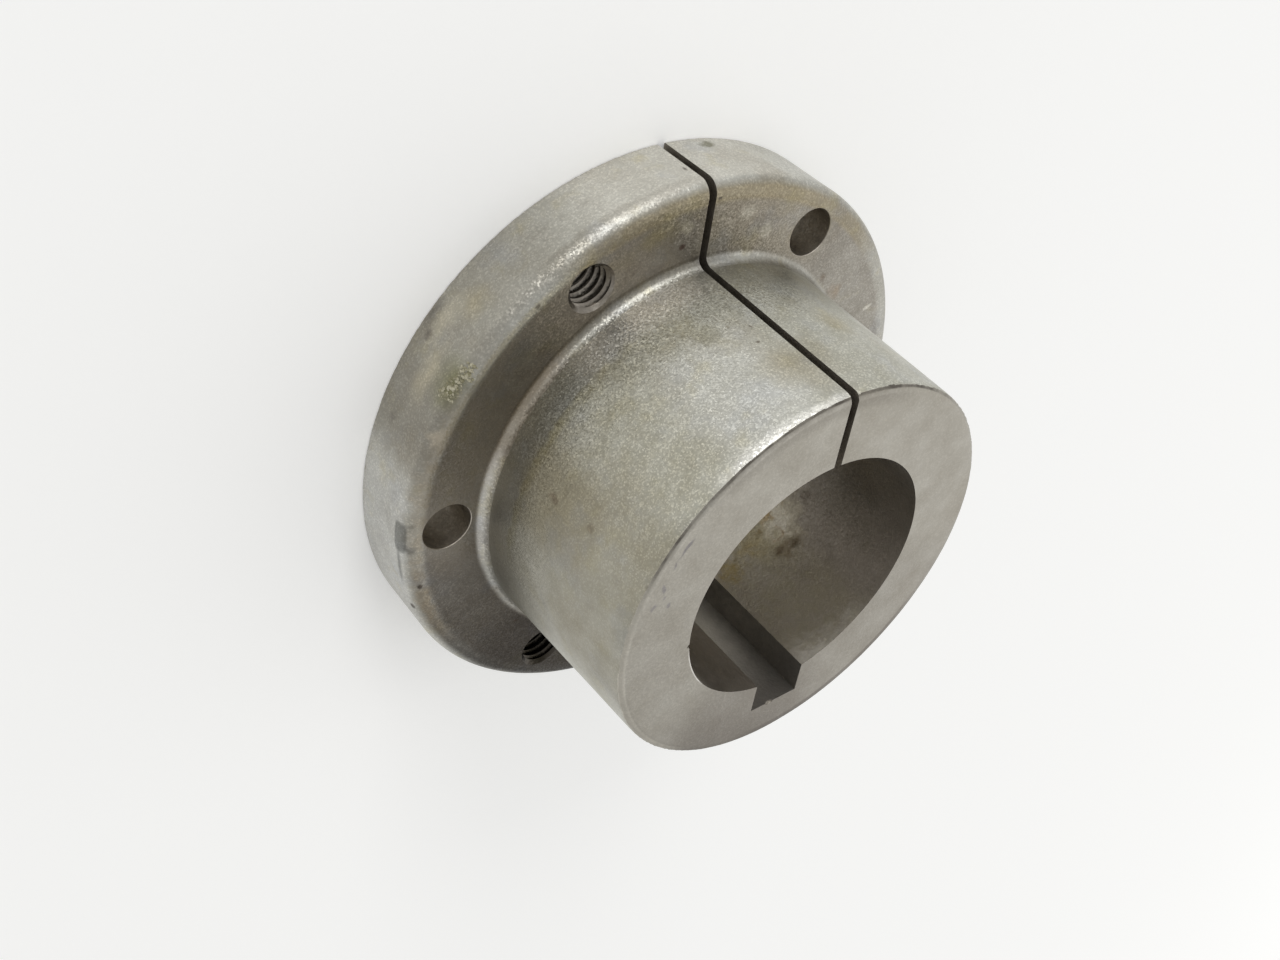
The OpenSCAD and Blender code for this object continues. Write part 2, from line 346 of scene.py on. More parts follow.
# the same blasted skin on the flange, handled more: finer grain, browner stains
flangeFinish = {
    "colour": "#c8c7bf", "mottleColour": "#b9b7ae", "roughness": (0.4, 0.48),
    "grainSize": 0.24, "grainTilt": 0.25, "grainToneAndGlint": 0.085,
    "mottleSize": 6, "bumpSize": 0.5, "bumpStrength": 0.12,
    "warpSize": 2.5, "warpReach": 2.5, "handledSide": (-0.45, 0.89, 0),
    "stains": [
        {"colour": "#8d8069", "size": 14, "from": 0.5, "strength": 0.33, "seed": 4.0},
        {"colour": "#7f766e", "size": 3.5, "from": 0.56, "strength": 0.3, "seed": 9.0},
    ],
    "tints": [
        {"colour": "#92959b", "size": 7, "from": 0.52, "strength": 0.25, "seed": 14.0},
        {"colour": "#a89d70", "size": 6, "from": 0.54, "strength": 0.28, "seed": 24.0},
    ],
    "filmsAndPaintedLight": [
        # old oil on the ledge up to the rounded edge with painted shade in it, lighter in a few places and
        # with painted light on the right, and painted shade thick low on the left
        filmOrPaintedLight("#5e5142", (36.2, 37.3), (45.3, 46.8), turn=125, reach=(22, 60), strength=0.74,
             weakest=0.86, patchy=0.1),
        filmOrPaintedLight("#9a9388", (39, 45), (45.3, 46.8), turn=142, reach=(30, 48), strength=0.5, patchy=0.4),
        filmOrPaintedLight("#a39b8d", (36.2, 38.5), (42.5, 46.3), turn=169, reach=(12, 26), strength=0.55, patchy=0.4),
        filmOrPaintedLight("#a1967c", (36.5, 38), (45.3, 46.8), turn=72, reach=(12, 24), strength=0.25),
        filmOrPaintedLight("#bdb9ae", (36.2, 37.3), (47.5, 48.5), turn=20, reach=(14, 38), strength=0.22),
        filmOrPaintedLight("#4a443b", (36.2, 37.3), (47.5, 49), turn=238, reach=(24, 64), strength=0.8),
        filmOrPaintedLight("#2e2925", (36.2, 37.3), (49, 49.19), turn=240, reach=(6, 30), strength=0.6),
        # the rounding is darker on its upper half, and painted shade dims its highlight at the top
        filmOrPaintedLight("#92866b", (45.1, 46.2), (47.6, 48.9), turn=80, reach=(32, 46), strength=0.82),
        filmOrPaintedLight("#8a857a", (45.5, 46.5), (48.4, 49.19), turn=30, reach=(20, 36), strength=0.35),
        filmOrPaintedLight("#8a857a", (9.6, 10.8), (11.8, 12.4), turn=107, reach=(10, 21), strength=0.5,
             along="height"),
        # a painted highlight along the line where the rounding meets the ledge, then tan grime on the
        # rounding
        filmOrPaintedLight("#e2dccd", (46.0, 46.5), (46.9, 47.6), turn=142, reach=(14, 24), strength=0.65, patchy=0.35),
        filmOrPaintedLight("#a08f72", (45.6, 46.6), (47.8, 49.1), turn=178, reach=(18, 36), strength=0.5,
             along="raggedRadius", patchy=0.5),
        # the fillet is darker at the upper left, with painted shade over its ledge-side half there that
        # narrows its highlight, and lighter below that
        filmOrPaintedLight("#5d564a", (35.4, 35.5), (36.7, 37.4), turn=147, reach=(9, 19), strength=0.3),
        filmOrPaintedLight("#6d675b", (35.85, 36.2), (37.2, 37.6), turn=116, reach=(22, 40), strength=0.66),
        filmOrPaintedLight("#b5a48c", (35.4, 35.5), (36.7, 37.4), turn=150, reach=(12, 24), strength=0.35),
        filmOrPaintedLight("#e9e7e2", (35.4, 35.5), (36.7, 37.4), turn=178, reach=(8, 22), strength=0.44),
        filmOrPaintedLight("#7d776b", (35.4, 35.5), (36.9, 37.5), turn=48, reach=(14, 32), strength=0.32),
        # painted light on top of the rim, painted shade mixed with stains round the upper left, and a
        # painted reflection lower down that makes it cooler and lighter
        filmOrPaintedLight("#dedad0", (48.7, 49.1), turn=92, reach=(12, 26), strength=0.38),
        filmOrPaintedLight("#857e70", (47, 49), turn=140, reach=(12, 32), strength=0.45),
        filmOrPaintedLight("#7a7468", (46.9, 48), turn=156, reach=(4, 12), strength=0.38),
        filmOrPaintedLight("#c6c6c6", (48.6, 49.19), turn=186, reach=(8, 24), strength=0.4, patchy=0.3),
    ],
    "pits": {"spacing": 6.5, "radius": 0.55, "rare": 3.0, "strength": 0.75, "colour": "#443a31"},
    "marks": [
        # green and yellow patches round the crust
        mark("#868468", (-41.2, 26.4, 11.0), (3.5, 4.6, 3.4), strength=0.75, soft=1.0),
        mark("#77754f", (-41.6, 25.6, 11.9), (2.5, 3.2, 1.8), strength=0.55, soft=1.0),
        mark("#b3a57c", (-34.9, 34.7, 6.3), (2.5, 3.4, 3.0), strength=0.38, soft=1.0),
        # a paler rubbed streak down the rim, with darker grime behind it
        mark("#d6cfba", (-38.2, 31.2, 3.6), (3, 5.5, 2.0), strength=0.46, soft=1.0),
        mark("#d2c9b0", (-42.3, 25.0, 6.6), (3, 5.5, 2.4), strength=0.46, soft=1.0),
        mark("#75726d", (-38.4, 30.7, 0.8), (2, 3.0, 1.6), strength=0.6, soft=1.0),
        mark("#544d4a", (-40.1, 28.6, 2.6), (2, 1.1, 0.8), strength=0.6, soft=1.0, ragged=False),
        mark("#6f6a63", (-46.2, 16.9, 3.9), (2, 1.1, 0.9), strength=0.5, soft=1.0),
        mark("#d8ccb6", (-44.3, 18.6, 12.8), (1.3, 1.9, 1.0), strength=0.45, soft=0.9),
        # the dark bar left by something pressed on the edge, with its tail and a smudge beside it
        mark("#5f605c", (-49.0, 0.7, 11.35), (1.5, 3.1, 1.25), strength=0.66, soft=0.4, square=True,
             ragged=False),
        mark("#5f605c", (-48.8, -5.2, 11.2), (1.5, 4.6, 0.5), strength=0.6, soft=0.8, ragged=False),
        mark("#66645e", (-48.1, -1.3, 12.7), (1.2, 1.1, 0.8), strength=0.6, soft=0.9),
        mark("#6d695f", (-48.3, 2.9, 12.5), (1.0, 0.8, 0.8), strength=0.45, soft=0.9),
        # small spots
        mark("#463d34", (-46.4, -9.4, 13.1), (0.5, 0.6, 0.6), strength=0.8, ragged=False),
        mark("#463d34", (-46.8, -14.5, 11.8), (0.6, 0.8, 0.5), strength=0.8, ragged=False),
        mark("#56413a", (-4.4, 39.8, 13.2), (0.6, 0.7, 1), strength=0.75, ragged=False),
        mark("#3f352d", (-29.1, 36.5, 13.2), (0.4, 0.6, 1), strength=0.6, ragged=False),
        mark("#77755c", (7.2, 48.7, 2.2), (2, 1.9, 1.1), strength=0.75),
        mark("#5a5148", (-1.5, 49.2, 7.9), (1, 0.3, 0.6), strength=0.7, ragged=False),
        mark("#4a443c", (1.4, 46.5, 13.2), (0.3, 0.4, 0.6), strength=0.8, ragged=False),
        mark("#675644", (27.1, 26.5, 13.2), (0.9, 0.8, 1), strength=0.6, soft=0.9),
        mark("#8f7a60", (31.0, 22.4, 13.2), (1.4, 2.0, 1), strength=0.45, soft=1.0),
        # pale and dark patches on the ledge
        mark("#cfcabb", (7.6, 42.6, 13.2), (1.6, 1.9, 1), strength=0.32),
        mark("#cfcabb", (11.9, 38.8, 13.2), (1.6, 1.5, 1), strength=0.3),
        mark("#c9c1ab", (-4.1, 42.9, 13.2), (1.4, 1.3, 1), strength=0.35),
        mark("#dcd8cc", (40.4, 16.7, 13.2), (1.1, 0.5, 1), strength=0.55, ragged=False),
        mark("#6c6c6e", (-31.5, 29.5, 13.2), (2.2, 4, 1.2), strength=0.4, soft=1.0),
        mark("#968a62", (-9.0, 42.9, 13.2), (2.4, 4.0, 1.2), strength=0.5, soft=0.9),
        mark("#9a917c", (-7.0, 39.4, 13.2), (3.2, 2.6, 1.2), strength=0.2, soft=1.0),
        mark("#8a8270", (-14.7, 40.0, 13.2), (2.2, 3.0, 1.2), strength=0.5, soft=0.9),
        mark("#7a7566", (-25.6, 29.8, 13.2), (1.6, 3.0, 1.2), strength=0.4, soft=1.0),
    ],
}

# turned faces of the nose and back: smooth matte grey with thumbed smudges
noseFinish = {
    "colour": "#aca89e", "mottleColour": "#a5a095", "roughness": (0.42, 0.52),
    "grainSize": 0.25, "grainTilt": 0.1, "grainToneAndGlint": 0.03,
    "mottleSize": 7, "bumpSize": 0.6, "bumpStrength": 0.08, "warpSize": 3, "warpReach": 2.5,
    "stains": [
        {"colour": "#91897a", "size": 16, "from": 0.5, "strength": 0.3, "seed": 3.0},
        {"colour": "#837a70", "size": 8, "from": 0.6, "strength": 0.2, "seed": 8.0},
    ],
    "filmsAndPaintedLight": [
        # painted shade towards the bottom of the face, and a darker band by its outer edge at the upper left
        filmOrPaintedLight("#7c756d", turn=256, reach=(4, 42), strength=0.5),
        filmOrPaintedLight("#7c756d", turn=312, reach=(20, 48), strength=0.22),
        filmOrPaintedLight("#8a857c", (31, 33), turn=100, reach=(20, 38), strength=0.45),
        # a pale band, then painted shade along the worn edge at the upper left, paler along that edge lower
        # down
        filmOrPaintedLight("#d6d2c8", (33.2, 33.6), (33.95, 34.1), turn=135, reach=(40, 75), strength=0.3, patchy=0.6),
        filmOrPaintedLight("#4a443e", (34.05, 34.2), (34.5, 34.7), turn=105, reach=(40, 62), strength=0.75,
             weakest=0.06, patchy=0.7),
        filmOrPaintedLight("#d8d3c6", (33.5, 33.8), (34.5, 34.7), turn=195, reach=(25, 48), strength=0.5, patchy=0.4),
        # more painted shade towards the bottom and lower right of the face
        filmOrPaintedLight("#6f6860", (25, 33), turn=256, reach=(8, 32), strength=0.35),
        filmOrPaintedLight("#6f6860", (33, 33.4), turn=296, reach=(15, 44), strength=0.6),
        # a painted highlight on the edge of the bore's mouth at the lower left
        filmOrPaintedLight("#f0ede6", (22.0, 22.1), (22.3, 22.5), turn=204, reach=(8, 15), strength=0.7),
    ],
    "pits": {"spacing": 6, "radius": 0.4, "rare": 4.0, "strength": 0.6, "colour": "#544b42"},
    "marks": [
        mark("#6d6970", (-26.4, 18.1, 47.9), (0.35, 1.8, 1), strength=0.6, lean=8),
        mark("#6d6970", (-27.6, 15.7, 47.9), (0.3, 0.9, 1), strength=0.5, lean=12),
        mark("#76727a", (-29.1, 12.0, 47.9), (0.35, 0.8, 1), strength=0.5, lean=15),
        mark("#76727a", (-30.4, 8.7, 47.9), (0.5, 0.7, 1), strength=0.45),
        mark("#76727a", (-27.9, 8.2, 47.9), (0.4, 0.6, 1), strength=0.5),
        mark("#76727a", (-29.1, 10.3, 47.9), (0.3, 0.7, 1), strength=0.4),
    ],
}

# bored steel left oily: dark brown grey with rust and dried oil
boreFinish = {
    "colour": "#c9c3bb", "mottleColour": "#bab3a9", "roughness": (0.34, 0.44),
    "grainSize": 0.3, "grainTilt": 0.1, "grainToneAndGlint": 0.03,
    "mottleSize": 6, "bumpSize": 0.6, "bumpStrength": 0.08, "warpSize": 2.2, "warpReach": 8,
    "stains": [
        {"colour": "#736857", "size": 9, "from": 0.5, "strength": 0.25, "seed": 5.0},
        {"colour": "#7c7757", "size": 6, "from": 0.6, "strength": 0.25, "seed": 1.0},
    ],
    "filmsAndPaintedLight": [
        # painted shade towards the right, and an olive oil film over the keyway's side
        filmOrPaintedLight("#77756f", turn=20, reach=(5, 50), strength=0.3),
        filmOrPaintedLight("#b8b28e", turn=300, reach=(5, 30), strength=0.42, patchy=0.5),
    ],
    "marks": [
        # a painted highlight on the far wall
        mark("#d8cfae", (16.0, -15.4, 24.5), (4, 8, 6), strength=0.85, soft=1.0),
        mark("#f6f0dc", (17.9, -13.2, 24.8), (3, 4.2, 3.6), strength=0.85, soft=1.0),
        mark("#fffbef", (17.4, -13.8, 25.4), (3, 3.4, 3.0), strength=0.75, soft=1.0),
        # golden and brown spots round it
        mark("#b08c4c", (16.9, -14.4, 22.6), (2, 1.6, 1.4), strength=0.7, soft=1.0),
        mark("#a98a52", (18.7, -12.0, 23.0), (2, 1.3, 1.2), strength=0.6, soft=1.0),
        mark("#a8834a", (16.5, -14.9, 26.4), (2, 1.0, 1.2), strength=0.55, soft=1.0),
        mark("#6e5530", (15.9, -15.5, 29.4), (2, 2.8, 2.0), strength=0.5, soft=1.0),
        mark("#54391c", (14.85, -16.5, 29.0), (2, 1.2, 1.0), strength=0.6, soft=1.0, ragged=False),
        mark("#54401f", (16.9, -14.5, 30.3), (2, 1.5, 1.0), strength=0.6, soft=1.0, ragged=False),
        mark("#5a4130", (21.1, -7.0, 33.2), (2, 1.3, 1.0), strength=0.4, soft=1.0),
        mark("#5a4630", (20.7, -8.1, 27.0), (2, 1.5, 1.0), strength=0.4, soft=1.0),
        mark("#b8a46c", (7.0, -21.1, 25.7), (2, 3.0, 3.4), strength=0.75, soft=1.0),
        mark("#b6a577", (12.1, -18.6, 24.4), (2, 3.6, 2.6), strength=0.65, soft=1.0),
        mark("#7d6a3c", (9.5, -20.1, 24.6), (2, 1.2, 1.2), strength=0.5, soft=1.0),
        mark("#8d7242", (14.6, -16.7, 23.2), (2, 1.2, 1.0), strength=0.5, soft=1.0),
        # a painted highlight along the mouth, most beside the keyway
        mark("#fbf8f0", (6.4, -21.3, 47.0), (2, 4.5, 4.0), strength=0.5, soft=1.0),
        mark("#fbf8f0", (11.5, -19.0, 47.9), (3, 9.0, 3.4), strength=0.5, soft=1.0),
    ],
}

# drilled steel with old oil on it: brown grey, darker down the hole
oiledFinish = {
    "colour": "#c9c2b6", "mottleColour": "#aea699", "roughness": (0.34, 0.46),
    "grainSize": 0.3, "grainTilt": 0.12, "grainToneAndGlint": 0.05,
    "mottleSize": 4, "bumpSize": 0.5, "bumpStrength": 0.12, "warpSize": 2, "warpReach": 1.5,
    "stains": [{"colour": "#5a5045", "size": 5, "from": 0.5, "strength": 0.4, "seed": 6.0}],
}

# sawn steel, unwashed: the walls of the cut stay dark and matte
sawnFinish = dict(oiledFinish, colour="#b0a99d", mottleColour="#8c857a", roughness=(0.5, 0.6))

# broached steel under a dull film: cold grey, with a matte patch deep inside painted lighter where light
# comes in from the opening
broachedFinish = dict(
    oiledFinish, colour="#9a9690", mottleColour="#8a8680", roughness=(0.4, 0.5), stains=[],
    grainTilt=0.05, grainToneAndGlint=0.02,
    marks=[
        mark("#e4dfd2", (-1.0, -27.6, 27), (2.5, 6.0, 17), strength=0.75, soft=1.0, roughness=0.85),
    ])

# tapped thread wet with cutting oil: dark flanks with lit crests
threadFinish = dict(
    oiledFinish, colour="#a09a90", mottleColour="#7c756b", roughness=(0.25, 0.36), grainTilt=0.08,
    filmsAndPaintedLight=[
        # painted shade darkens the lower hole
        filmOrPaintedLight("#2c2823", turn=238, reach=(10, 30), strength=0.8),
    ])

finishes = {
    "taper": steelFinish("blastedTaperSteel", taperFinish),
    "flange": steelFinish("blastedFlangeSteel", flangeFinish),
    "face": steelFinish("turnedFaceSteel", noseFinish),
    "bore": steelFinish("oiledBoreSteel", boreFinish),
    "hole": steelFinish("oiledHoleSteel", oiledFinish),
    "slot": steelFinish("sawnSlotSteel", sawnFinish),
    "thread": steelFinish("oiledThreadSteel", threadFinish),
    "keyway": steelFinish("broachedKeywaySteel", broachedFinish),
}
finishOrder = {part: place for place, part in enumerate(finishes)}
print("finishes made:", len(finishes))


# turned body: a half section carried round the axis

body = {
    "flangeRadius": 49.2, "flangeThickness": 13.2, "rimRound": 2.4, "backBevel": 0.2,
    "length": 47.9, "taperRadius": 35.7, "taperSlope": 0.03125, "rootFillet": 1.4, "filletRise": 1.9,
    "boreRadius": 22.225, "boreBevel": 0.07,
    "noseBevelWidth": 1.1, "noseBevelDepth": 0.5, "noseLip": 1.2, "noseLipDrop": 0.12,
    "steps": 720, "rimSteps": 16, "filletSteps": 12, "lipSteps": 8, "sharpAngle": 32,
    "wear": 1.0, "wearSize": 9.0, "raggedSize": 0.7, "wornSide": (-0.5, 0.86, 0.0),
}


def taperAt(z):
    return body["taperRadius"] - (z - body["flangeThickness"]) * body["taperSlope"]


def straight(start, end, holds, count):
    # places along a straight stretch: one close to each end, which keeps its shading flat, the rest even
    step = 1 if end > start else -1
    first, last = start + step * holds[0], end - step * holds[1]
    return [first + (last - first) * i / (count - 1) for i in range(count)]


def bodyProfile():
    # points run from the bore round the back, rim, taper and nose
    # each is (radius, height, worn radius, worn height, ragged reach)
    b = body
    points = []

    def put(r, z, wornR=None, wornZ=None, ragged=0.0):
        points.append((r, z, r if wornR is None else wornR, z if wornZ is None else wornZ, ragged))

    bore, rim, front, top = b["boreRadius"], b["flangeRadius"], b["flangeThickness"], b["length"]
    bevel, backBevel, rimRound = b["boreBevel"], b["backBevel"], b["rimRound"]
    put(bore + bevel, 0)
    for r in straight(bore + bevel, rim - backBevel, (1.7, 2.0), 6):
        put(r, 0)
    put(rim - backBevel, 0)
    put(rim - backBevel * 0.35, backBevel * 0.2, ragged=-0.12)
    put(rim - backBevel * 0.08, backBevel * 0.6, ragged=-0.12)
    put(rim, backBevel * 1.4)
    for z in straight(backBevel * 1.4, front - rimRound, (0.42, 1.2), 6):
        put(rim, z)
    for i in range(b["rimSteps"] + 1):
        a = math.radians(90) * i / b["rimSteps"]
        put(rim - rimRound + rimRound * math.cos(a), front - rimRound + rimRound * math.sin(a))
    taperAngle = math.atan(b["taperSlope"])
    filletZ = front + b["filletRise"]
    filletR = taperAt(filletZ) + b["rootFillet"] / math.cos(taperAngle)
    for r in straight(rim - rimRound, filletR, (1.3, 1.36), 5):
        put(r, front)
    for i in range(b["filletSteps"] + 1):
        a = math.radians(270) - (math.radians(90) - taperAngle) * i / b["filletSteps"]
        put(filletR + b["rootFillet"] * math.cos(a), filletZ + b["filletRise"] * math.sin(a))
    lipStart = top - b["noseBevelDepth"] - b["noseLip"]
    for z in straight(filletZ, lipStart, (0.5, 0.6), 11):
        put(taperAt(z), z)
    # the worn lip rolls in a little before the edge, then a fine step, then the bevel
    for i in range(b["lipSteps"] + 1):
        share = i / b["lipSteps"]
        z = lipStart + b["noseLip"] * share
        crispZ = lipStart + (top - 0.2 - lipStart) * share
        put(taperAt(crispZ), crispZ, taperAt(z) - b["noseLipDrop"] * share ** 2, z, -0.16 * share)
    edgeZ = top - b["noseBevelDepth"]
    edgeR = taperAt(edgeZ) - b["noseLipDrop"]
    endR = taperAt(top) - b["noseBevelWidth"]
    put(taperAt(top) - 0.08, top - 0.12, edgeR - 0.14, edgeZ + 0.02, -0.12)
    put(taperAt(top) - 0.12, top - 0.07, edgeR - 0.22, edgeZ + 0.1, -0.06)
    put(taperAt(top) - 0.18, top - 0.02, (edgeR + endR) / 2 - 0.1, (edgeZ + top) / 2 + 0.08, -0.03)
    put(taperAt(top) - 0.25, top, endR, top)
    for r in straight(endR, bore, (0.32, 0.98), 6):
        put(r, top)
    put(bore, top)
    for z in straight(top, bevel * 1.4, (0.2, 0.11), 12):
        put(bore, z)
    put(bore, bevel * 1.4)
    put(bore + bevel * 0.08, bevel * 0.6)
    put(bore + bevel * 0.35, bevel * 0.2)
    return points + points[:1]


def profileMesh(name, points):
    mesh = bpy.data.meshes.new(name)
    edges = [(i, i + 1) for i in range(len(points) - 1)]
    mesh.from_pydata([(p[0] * mm, 0, p[1] * mm) for p in points], edges, [])
    mesh.attributes.new("worn", "FLOAT_VECTOR", "POINT")
    mesh.attributes.new("ragged", "FLOAT", "POINT")
    for i, p in enumerate(points):
        mesh.attributes["worn"].data[i].vector = (p[2] * mm, 0, p[3] * mm)
        mesh.attributes["ragged"].data[i].value = p[4] * mm
    return mesh


def turnTree():
    # carries every profile point round the axis, between its crisp and its worn place
    tree, given = newTree(
        "turnOnLathe", Geometry=["Profile"], Int=["Steps"], Float=["Wear", "Wear size", "Ragged size"],
        Vector=["Worn side"])
    count = addNode(tree, "GeometryNodeAttributeDomainSize", {
        0: given["Profile"]}, component="MESH")["Point Count"]
    rows = addNode(tree, "ShaderNodeMath", {0: given["Steps"], 1: 1.0}, operation="ADD")[0]
    columns = addNode(tree, "ShaderNodeMath", {0: count, 1: 1.0}, operation="SUBTRACT")[0]
    grid = addNode(tree, "GeometryNodeMeshGrid", {
        "Size X": columns, "Size Y": given["Steps"], "Vertices X": count, "Vertices Y": rows})["Mesh"]
    # the grid has one unit to a cell and is centred, so its own place gives the column and the row
    position = addNode(tree, "GeometryNodeInputPosition")[0]
    cell = addNode(tree, "ShaderNodeSeparateXYZ", {0: position})
    halfWay = addNode(tree, "ShaderNodeMath", {
        0: columns, 1: 0.5, 2: cell[0]}, operation="MULTIPLY_ADD")[0]
    column = addNode(tree, "ShaderNodeMath", {0: halfWay}, operation="ROUND")[0]
    halfTurn = addNode(tree, "ShaderNodeMath", {
        0: given["Steps"], 1: 0.5, 2: cell[1]}, operation="MULTIPLY_ADD")[0]
    row = addNode(tree, "ShaderNodeMath", {0: halfTurn}, operation="ROUND")[0]
    turn = addNode(tree, "ShaderNodeMath", {0: row, 1: given["Steps"]}, operation="DIVIDE")[0]
    angle = addNode(tree, "ShaderNodeMath", {0: turn, 1: 2 * math.pi}, operation="MULTIPLY")[0]
    across = addNode(tree, "ShaderNodeMath", {0: angle}, operation="COSINE")[0]
    along = addNode(tree, "ShaderNodeMath", {0: angle}, operation="SINE")[0]
    outward = addNode(tree, "ShaderNodeCombineXYZ", {0: across, 1: along})[0]

    wornPlace = addNode(tree, "GeometryNodeInputNamedAttribute", {
        "Name": "worn"}, data_type="FLOAT_VECTOR")[0]
    raggedReach = addNode(tree, "GeometryNodeInputNamedAttribute", {
        "Name": "ragged"}, data_type="FLOAT")[0]
    crisp = addNode(tree, "GeometryNodeSampleIndex", {
        "Geometry": given["Profile"], "Value": position, "Index": column}, data_type="FLOAT_VECTOR")[0]
    worn = addNode(tree, "GeometryNodeSampleIndex", {
        "Geometry": given["Profile"], "Value": wornPlace, "Index": column}, data_type="FLOAT_VECTOR")[0]
    reach = addNode(tree, "GeometryNodeSampleIndex", {
        "Geometry": given["Profile"], "Value": raggedReach, "Index": column}, data_type="FLOAT")[0]

    # more wear on the worn side, with slow noise read on a ring about as wide as the taper
    side = addNode(tree, "ShaderNodeVectorMath", {
        0: outward, 1: given["Worn side"]}, operation="DOT_PRODUCT")["Value"]
    ringPlace = addNode(tree, "ShaderNodeVectorMath", {0: outward, "Scale": 0.035}, operation="SCALE")[0]
    wearScale = addNode(tree, "ShaderNodeMath", {0: 1.0, 1: given["Wear size"]}, operation="DIVIDE")[0]
    slow = addNode(tree, "ShaderNodeTexNoise", {
        "Vector": ringPlace, "Scale": wearScale, "Detail": 2.0})[0]
    sideShare = addNode(tree, "ShaderNodeMapRange", {
        "Value": side, "From Min": -0.7, "From Max": 0.8, "To Min": 0.15, "To Max": 1.0})[0]
    slowShare = addNode(tree, "ShaderNodeMapRange", {
        "Value": slow, "From Min": 0.3, "From Max": 0.7, "To Min": 0.6, "To Max": 1.1})[0]
    share = addNode(tree, "ShaderNodeMath", {
        0: sideShare, 1: slowShare}, operation="MULTIPLY", use_clamp=True)[0]
    amount = addNode(tree, "ShaderNodeMath", {0: share, 1: given["Wear"]}, operation="MULTIPLY")[0]
    place = addNode(tree, "ShaderNodeMix", {0: amount, 4: crisp, 5: worn}, data_type="VECTOR")[1]

    parts = addNode(tree, "ShaderNodeSeparateXYZ", {0: place})
    onRing = addNode(tree, "ShaderNodeVectorMath", {0: outward, "Scale": parts[0]}, operation="SCALE")[0]
    lifted = addNode(tree, "ShaderNodeCombineXYZ", {2: parts[2]})[0]
    turned = addNode(tree, "ShaderNodeVectorMath", {0: onRing, 1: lifted}, operation="ADD")[0]
    raggedScale = addNode(tree, "ShaderNodeMath", {
        0: 1.0, 1: given["Ragged size"]}, operation="DIVIDE")[0]
    fine = addNode(tree, "ShaderNodeTexNoise", {"Vector": turned, "Scale": raggedScale, "Detail": 3.0})[0]
    fineShare = addNode(tree, "ShaderNodeMapRange", {
        "Value": fine, "From Min": 0.35, "From Max": 0.75})[0]
    fineStep = addNode(tree, "ShaderNodeMath", {0: fineShare, 1: reach}, operation="MULTIPLY")[0]
    fineWear = addNode(tree, "ShaderNodeMath", {0: fineStep, 1: given["Wear"]}, operation="MULTIPLY")[0]
    shift = addNode(tree, "ShaderNodeVectorMath", {0: outward, "Scale": fineWear}, operation="SCALE")[0]
    final = addNode(tree, "ShaderNodeVectorMath", {0: turned, 1: shift}, operation="ADD")[0]

    placed = addNode(tree, "GeometryNodeSetPosition", {"Geometry": grid, "Position": final})[0]
    joined = addNode(tree, "GeometryNodeMergeByDistance", {"Geometry": placed, "Distance": 0.002 * mm})[0]
    return endTree(tree, joined, given["Finish"])


def outwardFaces(mesh):
    work = bmesh.new()
    work.from_mesh(mesh)
    bmesh.ops.recalc_face_normals(work, faces=work.faces)
    if work.calc_volume(signed=True) < 0:
        bmesh.ops.reverse_faces(work, faces=work.faces)
    unpaired = sum(not edge.is_manifold for edge in work.edges)
    work.to_mesh(mesh)
    work.free()
    if unpaired:
        print("open edges on", mesh.name, unpaired)


def dress(mesh, part):
    # every mesh carries the whole list of finishes in one order, so that the cuts bring theirs along
    mesh.materials.clear()
    for finish in finishes.values():
        mesh.materials.append(finish)
    mesh.polygons.foreach_set("material_index", [finishOrder[part]] * len(mesh.polygons))


lathe = turnTree()
turned = runTree(lathe, profileMesh("bushingProfile", bodyProfile()), {
    "Steps": body["steps"], "Wear": body["wear"], "Wear size": body["wearSize"] * mm,
    "Ragged size": body["raggedSize"] * mm, "Worn side": body["wornSide"], "Finish": finishes["flange"]})
outwardFaces(turned)
dress(turned, "flange")
hair = 0.02
boreEdge = body["boreRadius"] + 0.22
noseEdge = body["length"] - body["noseBevelDepth"] + hair
taperFoot = body["flangeThickness"] + body["filletRise"] * 0.9
for face in turned.polygons:
    r, z = math.hypot(face.center.x, face.center.y) / mm, face.center.z / mm
    if z > body["length"] - hair or z < hair:
        face.material_index = finishOrder["face"]
    elif r < boreEdge:
        face.material_index = finishOrder["bore"]
    elif z > noseEdge:
        face.material_index = finishOrder["face"]
    elif z > taperFoot:
        face.material_index = finishOrder["taper"]
bushing = bpy.data.objects.new("turnedBushing", turned)
scene.collection.objects.link(bushing)
print("body turned:", len(turned.polygons), "faces")


# holes round the flange, and their threads

holes = {
    "count": 3, "circleRadius": 42.05, "plainTurn": 58.5, "tappedTurn": 118.5,
    "plainRadius": 4.15, "plainMouth": 4.25, "tappedRadius": 3.299, "tappedMouth": 4.0,
    "past": 1.0, "steps": 96,
}
flangeThread = {
    "pitch": 1.411, "majorRadius": 3.97, "minorRadius": 3.299, "length": 16.5, "start": -1.6, "steps": 48,
}
setScrew = {"radius": 2.55, "mouth": 3.2, "height": 6.6, "floor": 27.0, "steps": 72}
setScrewThread = {
    "pitch": 1.27, "majorRadius": 3.175, "minorRadius": 2.55, "length": 24.0, "start": 26.6, "steps": 40,
}


def holeCutter(name, part, radius, mouth, depth, steps, mouths=2):
    # a turned plug, closed on the axis at both ends and wider at the mouths
    bevel, past = mouth - radius, holes["past"]
    wide = mouth + past
    low = [(0, -past), (wide, -past), (radius, bevel)] if mouths == 2 else [(0, 0), (radius, 0)]
    outline = low + [(radius, depth - bevel), (wide, depth + past), (0, depth + past)]
    points = [(r, z, r, z, 0.0) for r, z in outline]
    return runTree(lathe, profileMesh(name, points), {"Steps": steps, "Finish": finishes[part]})


